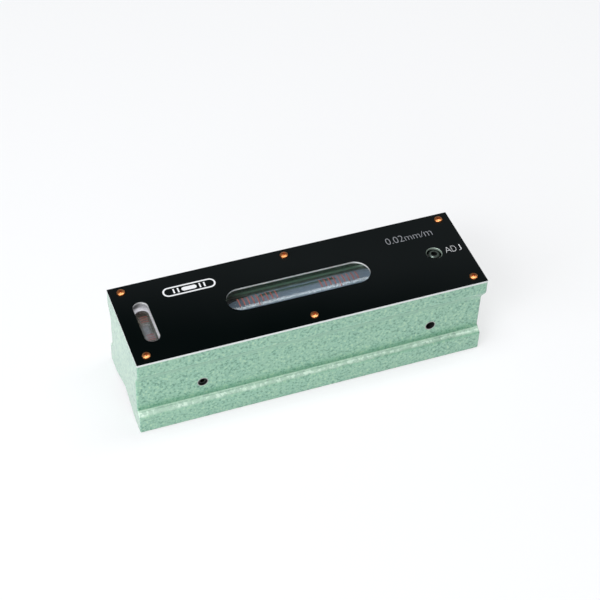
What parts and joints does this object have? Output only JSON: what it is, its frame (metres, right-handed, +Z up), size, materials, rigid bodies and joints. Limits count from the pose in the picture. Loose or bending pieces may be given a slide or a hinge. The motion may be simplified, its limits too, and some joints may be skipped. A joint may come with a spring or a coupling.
{
  "type": "precision machinist level",
  "caption": "Short cast bar level with a V-groove base, a long main vial tilted by an adjusting screw and a small cross vial, both under windows in a flat cover plate.",
  "frame": {"origin": "on the ground base plane, under the middle of the level", "axes": "+X along the length towards the adjusting screw, +Y across to the back, +Z up through the cover plate"},
  "size_m": [0.15, 0.044, 0.0417],
  "materials": {
    "body_paint": "light green hammertone paint over cast iron",
    "plate_black": "black coated plate with bare bright edges",
    "screw_brass": "dull orange brass pan heads",
    "window_pane": "clear",
    "carrier_iron": "dark painted casting",
    "vial_glass": "clear ground glass tube",
    "vial_fluid": "clear liquid, faintly blue-grey",
    "plaster": "matt white plaster",
    "pin_steel": "bright steel",
    "grub_screw_steel": "black oxide",
    "adjuster_steel": "dull grey steel"
  },
  "bodies": {
    "level": {"body": "body_paint", "cover_plate": "plate_black", "cover_screws": "screw_brass", "main_window_pane": "window_pane", "cross_window_pane": "window_pane", "pivot_pin": "pin_steel", "pivot_set_screws": "grub_screw_steel", "side_set_screws": "grub_screw_steel", "adjusting_spring": "pin_steel", "cross_vial": "vial_glass", "cross_vial_fluid": "vial_fluid", "cross_vial_plaster": "plaster"},
    "carrier": {"vial_carrier": "carrier_iron", "main_vial": "vial_glass", "main_vial_end_left": "vial_glass", "main_vial_end_right": "vial_glass", "main_vial_fluid": "vial_fluid", "main_vial_plaster_left": "plaster", "main_vial_plaster_right": "plaster"},
    "washer": {"thrust_washer": "pin_steel"},
    "adjuster": {"adjusting_screw": "adjuster_steel"}
  },
  "joints": [
    {"name": "washer_travel", "type": "slide", "parent": "level", "child": "washer", "axis": [0, 0, 1], "range_m": [-0.0005, 0.0005], "deforming": ["adjusting_spring"]},
    {"name": "adjusting_screw_turn", "type": "hinge", "parent": "washer", "child": "adjuster", "pos_m": [0.0602, 0, 0.0373], "axis": [0, 0, 1], "range_deg": [-360, 360]},
    {"name": "carrier_tilt", "type": "hinge", "parent": "level", "child": "carrier", "pos_m": [-0.0473, 0, 0.0179], "axis": [0, -1, 0], "range_deg": [-0.2664, 0.2664]}
  ],
  "couplings": [
    {"joint": "adjusting_screw_turn", "follows": "carrier_tilt", "ratio": 1350.9},
    {"joint": "washer_travel", "follows": "carrier_tilt", "m_per_rad": 0.1075}
  ]
}
